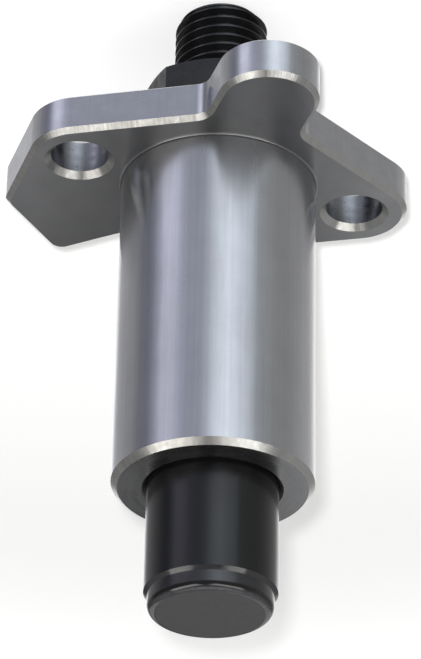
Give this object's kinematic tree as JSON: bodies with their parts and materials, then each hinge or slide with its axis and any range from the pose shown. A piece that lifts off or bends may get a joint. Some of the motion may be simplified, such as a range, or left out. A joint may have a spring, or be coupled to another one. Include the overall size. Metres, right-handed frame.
{
  "type": "manual cam chain tensioner",
  "caption": "Screw-adjusted cam chain tensioner with a three-lobed flange, a round barrel, a sliding plunger and a sealed lock nut.",
  "frame": {"origin": "on the barrel's axis, in the flange's mounting face", "axes": "+Z along the barrel in the direction that the plunger pushes; X through the two bolt holes; +Y towards the lobe that covers the oil passage"},
  "size_m": [0.0455, 0.0435, 0.0773],
  "materials": {
    "machined_aluminium": "machined and lightly satin",
    "black_anodised_aluminium": "satin black anodised",
    "spring_steel": "drawn wire",
    "black_oxide_steel": "oiled black oxide",
    "plated_steel": "zinc plated",
    "nitrile_rubber": "moulded"
  },
  "bodies": {
    "housing": {"housing": "machined_aluminium"},
    "plunger": {"plunger": "black_anodised_aluminium", "retaining_ring": "spring_steel"},
    "adjuster": {"adjuster_screw": "black_oxide_steel"},
    "washer": {"seal_washer_ring": "plated_steel", "seal_washer_rubber": "nitrile_rubber"},
    "nut": {"lock_nut": "black_oxide_steel"}
  },
  "joints": [
    {"name": "plunger_travel", "type": "slide", "parent": "housing", "child": "plunger", "axis": [0, 0, 1], "range_m": [-0.012, 0.009]},
    {"name": "adjuster_turn", "type": "hinge", "parent": "plunger", "child": "adjuster", "pos_m": [0, 0, 0], "axis": [0, 0, 1], "range_deg": [-3402, 2552]},
    {"name": "nut_lift", "type": "slide", "parent": "housing", "child": "washer", "axis": [0, 0, -1], "range_m": [0, 0.004]},
    {"name": "nut_turn", "type": "hinge", "parent": "washer", "child": "nut", "pos_m": [0, 0, 0], "axis": [0, 0, -1], "range_deg": [0, 1134]}
  ],
  "couplings": [
    {"joint": "adjuster_turn", "follows": "plunger_travel", "rad_per_m": 4947.4},
    {"joint": "nut_turn", "follows": "nut_lift", "rad_per_m": 4947.4}
  ]
}
